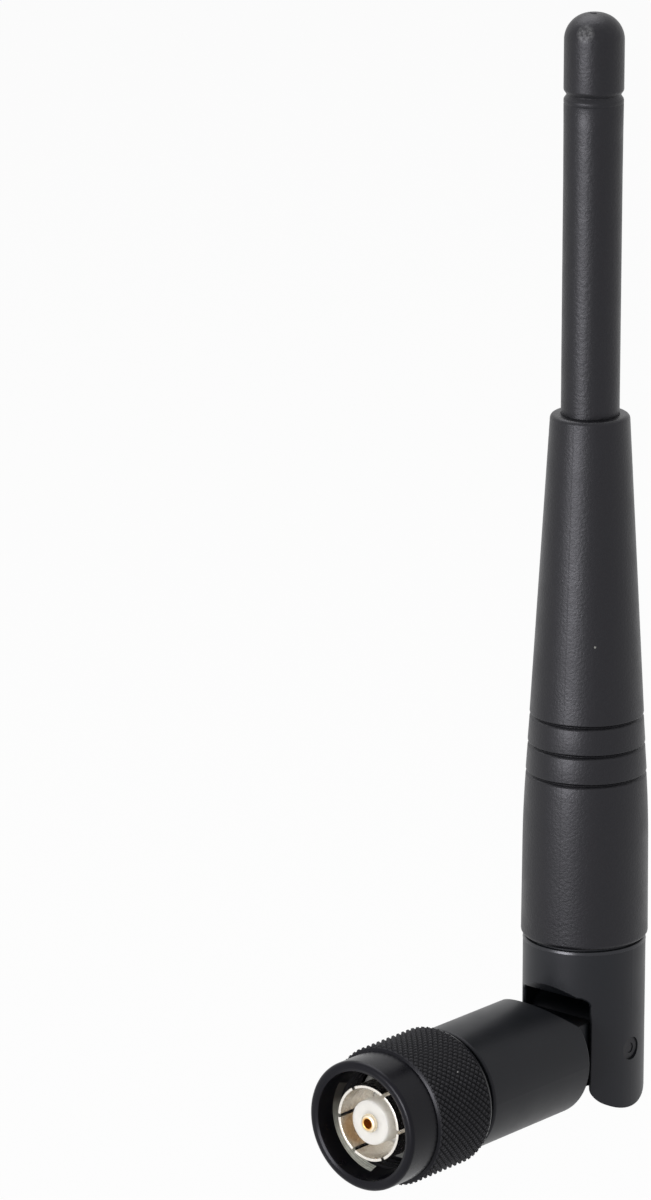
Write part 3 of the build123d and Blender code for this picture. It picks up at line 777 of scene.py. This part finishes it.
# %% The thread
plug_centre, along_plug, out_of_plug = axes["plug"]
thread_pitch = 25.4 / 28
ridge_root_width, ridge_crest_width = 0.80, 0.22
ridge_sunk, ridge_room = 0.03, 0.15
thread_turns, steps_in_turn = 3.5, 72
ridge_start = lead_rear + ridge_room
ridge_slope = (ridge_root_width - ridge_crest_width) / 2
thread = bmesh.new()
half_section(thread, "plug", [
    (thread_root + ridge_sunk, ridge_start),
    (thread_crest, ridge_start + ridge_slope),
    (thread_crest, ridge_start + ridge_slope + ridge_crest_width),
    (thread_root + ridge_sunk, ridge_start + ridge_root_width),
])
carry_round(
    thread, list(thread.faces), plug_centre, along_plug, whole_turn * thread_turns,
    round(thread_turns * steps_in_turn), along_plug * thread_pitch * mm / steps_in_turn,
)
piece("nut_thread", thread, "nut", plated)

# %% [markdown]
# Behind the mouth a short cone leads into the thread. Part of it carries a highlight painted as pale
# metal, where the lamp's reflection falls: a thin skin on the cone, spun through a third of a turn. A mask
# on the nut's finish could paint it, but a skin of its own keeps its edges crisp.

# %% The lead's painted highlight
skin_offset = 0.015
highlight_start, highlight_angle, highlight_steps = math.radians(95), math.radians(118), 72
highlight_front_share = 0.35
highlight_front = lead_front + highlight_front_share * lead_length
highlight_front_radius = mouth_radius + highlight_front_share * (thread_crest - mouth_radius)
lead = bmesh.new()
half_section(lead, "plug", [
    (highlight_front_radius + skin_offset, highlight_front + skin_offset),
    (highlight_front_radius - skin_offset, highlight_front),
    (thread_crest - skin_offset, lead_rear - skin_offset),
    (thread_crest + skin_offset, lead_rear + skin_offset),
])
highlight_turn = Matrix.Rotation(highlight_start, 3, along_plug)
bmesh.ops.rotate(lead, cent=plug_centre, matrix=highlight_turn, verts=list(lead.verts))
carry_round(lead, list(lead.faces), plug_centre, along_plug, highlight_angle, highlight_steps)
piece("nut_lead", lead, "nut", lead_highlight)

# %% [markdown]
# A diamond knurl is two crossed sets of V grooves. The skin starts as a fine tube. Dissolving every other
# vertex of its checkerboard leaves the diamonds between the grooves, and an inset that also lifts each one
# turns it into a pyramid with a small flat top. A bump could fake it, but the teeth show in the nut's
# outline, so they are real.

# %% The knurl
knurl_starts, knurl_rows = 62, 20
diamond_flat = 0.17
knurl_lift, crest_room = 0.01, 0.01
knurl_front = grip_front + 0.5 * grip_bevel
row_height = (grip_rear - knurl_front) / knurl_rows
column_angle = math.pi / knurl_starts

knurl = bmesh.new()
skin_line = [
    knurl.verts.new(out_of_plug * (valley_radius + knurl_lift) * mm + along_plug * place * mm)
    for place in [knurl_front + row * row_height for row in range(knurl_rows + 1)]
]
for first, second in zip(skin_line, skin_line[1:]):
    knurl.edges.new((first, second))
outline = list(knurl.verts) + list(knurl.edges)
carry_round(knurl, outline, plug_centre, along_plug, whole_turn, 2 * knurl_starts)
bmesh.ops.recalc_face_normals(knurl, faces=list(knurl.faces))

checkers = [[], []]
for vertex in knurl.verts:
    row = round((vertex.co.y / mm - knurl_front) / row_height)
    column = round(math.atan2(vertex.co.z, vertex.co.x) / column_angle)
    checkers[(row + column) % 2].append(vertex)
middles, crossings = checkers
bmesh.ops.connect_verts(knurl, verts=crossings)
bmesh.ops.dissolve_verts(knurl, verts=middles)
diamonds = [face for face in knurl.faces if len(face.verts) == 4]
outward = 0.0
for face in diamonds:
    middle = face.calc_center_median()
    outward += face.normal.dot(Vector((middle.x, 0, middle.z)))
if outward < 0:
    bmesh.ops.reverse_faces(knurl, faces=list(knurl.faces))
bmesh.ops.inset_individual(
    knurl, faces=list(knurl.faces), thickness=diamond_flat * mm,
    depth=(knurl_depth - knurl_lift - crest_room) * mm, use_even_offset=True, use_interpolate=True,
    use_relative_offset=False,
)
print("knurl:", len(diamonds), "diamonds")
piece("nut_knurl", knurl, "nut", knurl_lightened, flat_angle=20)

# %% [markdown]
# The slotted contact is a thin tube with six fingers. Each finger is its section spun through its own
# angle, with both ends closed, and the ring behind them is spun right round. Booleans could cut slots in a
# tube as well, but the spun fingers keep even faces and rounded tips.

# %% The slotted contact
contact_radius, contact_wall, contact_rear = 3.95, 0.35, 6.95
contact_bore = contact_radius - contact_wall
finger_length, finger_slot, finger_count, finger_steps = 5.00, 0.40, 6, 28
tip_inner_round, tip_outer_round = 0.10, 0.08
seat_radius, free_length = 4.15, 4.70
slot_angle = 2 * math.asin(finger_slot / 2 / contact_radius)
finger_pitch = whole_turn / finger_count


def gather(target, other):
    """Move another mesh into this one."""
    bmesh.ops.recalc_face_normals(other, faces=list(other.faces))
    carrier = bpy.data.meshes.new("carrier")
    other.to_mesh(carrier)
    other.free()
    target.from_mesh(carrier)
    bpy.data.meshes.remove(carrier)


contact = bmesh.new()
half_section(contact, "plug", [
    (contact_bore, finger_length),
    (seat_radius, finger_length),
    (seat_radius, contact_rear),
    (contact_bore, contact_rear),
])
spin_section(contact, "plug")
for index in range(finger_count):
    finger = bmesh.new()
    half_section(finger, "plug", [
        (contact_bore, 0.0, tip_inner_round),
        (contact_radius, 0.0, tip_outer_round),
        (contact_radius, free_length),
        (seat_radius, free_length),
        (seat_radius, finger_length),
        (contact_bore, finger_length),
    ])
    finger_turn = Matrix.Rotation(index * finger_pitch + slot_angle / 2, 3, along_plug)
    bmesh.ops.rotate(finger, cent=plug_centre, matrix=finger_turn, verts=list(finger.verts))
    carry_round(finger, list(finger.faces), plug_centre, along_plug, finger_pitch - slot_angle, finger_steps)
    gather(contact, finger)
piece("slotted_contact", contact, "connector", nickel, ["outer_contact"])

# %% [markdown]
# In the middle stand the waxy white nose and the gold socket with its dark hole. Both were turned, so both
# are plain half sections. The hole has its real depth, so it stays dark from every side.

# %% The insulator and the socket
insulator_radius, nose_front, base_front, insulator_rear = 2.31, 0.30, 5.00, 11.85
nose_bore_round, nose_edge_round = 0.06, 0.14
socket_radius, socket_bore, socket_front, bore_depth = 0.95, 0.50, -0.10, 3.20
socket_mouth_round, socket_edge_round = 0.08, 0.30
socket_rear = insulator_rear - 0.45
turned("white_nose", "plug", [
    (socket_radius, nose_front, nose_bore_round),
    (insulator_radius, nose_front, nose_edge_round),
    (insulator_radius, base_front),
    (contact_bore, base_front),
    (contact_bore, contact_rear),
    (insulator_radius, contact_rear),
    (insulator_radius, insulator_rear),
    (socket_radius, insulator_rear),
], "connector", white, ["insulator"])
turned("gold_socket", "plug", [
    (0, socket_front + bore_depth),
    (socket_bore, socket_front + bore_depth),
    (socket_bore, socket_front, socket_mouth_round),
    (socket_radius, socket_front, socket_edge_round),
    (socket_radius, socket_rear),
    (0, socket_rear),
], "connector", gold, ["centre_socket"])

# %% [markdown]
# The cable crosses the hinge, and the solid in the frame is one stiff bent tube. The real one flexes, so a
# mesh with many rings takes its place. A disc is run straight, spun round the bend and run straight again.
# Each run below has an angle, a straight way and a count of rings.

# %% The cable through the hinge
cable_low, cable_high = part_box("coax_cable")
cable_radius = (cable_high.x - cable_low.x) / 2
cable_sides = 32
bend_radius = 5.0 * mm
bend_start = Vector((0, hinge.y - bend_radius, 0))
bend_end = Vector((0, hinge.y, bend_radius))
bend_centre = bend_start + Vector((0, 0, bend_radius))
runs = [
    (0, Vector((0, bend_start.y - cable_low.y, 0)), 20),
    (math.pi / 2, Vector((0, 0, 0)), 40),
    (0, Vector((0, 0, cable_high.z - bend_end.z)), 60),
]
cable = bmesh.new()
bmesh.ops.create_circle(cable, cap_ends=True, segments=cable_sides, radius=cable_radius)
bmesh.ops.rotate(cable, cent=(0, 0, 0), matrix=upright, verts=list(cable.verts))
bmesh.ops.translate(cable, vec=(0, cable_low.y, 0), verts=list(cable.verts))
end_disc = list(cable.faces)
for angle, run, steps in runs:
    carried = carry_round(cable, end_disc, bend_centre, (1, 0, 0), angle, steps, run / steps)
    end_disc = [item for item in carried["geom_last"] if isinstance(item, bmesh.types.BMFace)]
jacket_tube = piece("cable_jacket_tube", cable, None, jacket, ["coax_cable"])
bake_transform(jacket_tube)

# %% [markdown]
# The nodes whose own shape is right keep it and only get their finish. Most of them are hidden until the
# antenna is taken apart, but their finishes are true all the same.

# %% Finishes for the solids that stay
kept = {
    "connector_body": plated, "face_gasket": rubber, "nut_ring": spring_steel, "elbow_ring": spring_steel,
    "crimped_braid": braid, "crimp_ferrule": nickel, "front_core": core_white, "elbow_barrel": barrel_satin,
    "knuckle": satin, "hinge_pin_right": pin_black, "hinge_pin_left": pin_black,
    "dipole_sleeve": brass, "feed_braid": braid, "feed_core": core_white, "upper_radiator": brass,
    "sleeve_bead": bead, "radiator_bead": bead, "feed_shrink": shrink,
}
for node_name, finish in kept.items():
    node_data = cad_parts[node_name].data
    node_data.materials.clear()
    node_data.materials.append(finish.material)
print("solids finished:", len(kept))

# %% [markdown]
# The antenna is shown on plain white. The world gives the white background and its reflection, and a dimmer
# grey light. The floor is white where the camera sees it, and still takes a faint shadow. The plug holds
# the antenna up, so the floor lies low enough for the whip to hang down when the elbow turns over.

# %% World and floor
world_light, world_white = 0.25, 1.0
floor_half_width, floor_white_share = 4.0, 0.95
floor_clearance = 12 * mm
floor_level = -cad_box[1][2] - floor_clearance

world = bpy.data.worlds.new("studio")
bpy.context.scene.world = world
world.use_nodes = True
sky = Shading(world.node_tree)
background = sky.tree.nodes["Background"]
background.inputs["Color"].default_value = (1, 1, 1, 1)
sky.put(background.inputs["Strength"], sky.between(sky.seen(), 0.0, 1.0, world_light, world_white))

floor_mesh = bmesh.new()
bmesh.ops.create_grid(floor_mesh, x_segments=1, y_segments=1, size=floor_half_width)
bmesh.ops.translate(floor_mesh, vec=(0, 0, floor_level), verts=list(floor_mesh.verts))
floor_data = bpy.data.meshes.new("floor")
floor_mesh.to_mesh(floor_data)
floor_mesh.free()
floor = add_object("floor", floor_data)

floor_white = Finish("floor_white", Base_Color=(0.8, 0.8, 0.8, 1), Roughness=0.9)
matt = Socket(floor_white, floor_white.shader.outputs[0])
glow = floor_white.node("ShaderNodeEmission", None, {"Strength": 1.0})
white_share = floor_white.between(floor_white.seen(), 0.0, 1.0, 0.0, floor_white_share)
mixed = floor_white.node("ShaderNodeMixShader", None, {0: white_share, 1: matt, 2: glow})
floor_white.put(floor_white.tree.nodes["Material Output"].inputs["Surface"], mixed)
floor_data.materials.append(floor_white.material)
print("floor at", round(floor_level, 3), "m")

# %% [markdown]
# Two soft panels light it. The key stands low on the left and draws the long bright stripe down the whip.
# The other lights it from above, a little behind it on the left. Small lamps would draw a thin hard line,
# and wide panels keep the stripe soft and even.

# %% The lamps
lamp_distance, aim_height = 0.8, 40 * mm
lamp_aim = hinge + Vector((0, 0, aim_height))
key_azimuth, key_elevation = camera_azimuth - math.radians(39.5), math.radians(2.0)
key_width, key_height, key_power = 0.40, 0.23, 4.7
top_azimuth, top_elevation = camera_azimuth - math.radians(150), math.radians(68)
top_side, top_power = 0.7, 4.3


def soft_panel(name, azimuth, elevation, width, height, power):
    """A large soft lamp, given by where it stands as seen from the boot."""
    away = towards(azimuth, elevation)
    lamp_data = bpy.data.lights.new(name, "AREA")
    lamp_data.shape = "RECTANGLE"
    lamp_data.size = width
    lamp_data.size_y = height
    lamp_data.energy = power
    lamp = add_object(name, lamp_data)
    facing = away.to_track_quat("Z", "Y").to_matrix().to_4x4()
    lamp.matrix_world = Matrix.Translation(lamp_aim + away * lamp_distance) @ facing
    return lamp


key = soft_panel("key_panel", key_azimuth, key_elevation, key_width, key_height, key_power)
top = soft_panel("top_panel", top_azimuth, top_elevation, top_side, top_side, top_power)
print("lamps:", key.name, top.name)
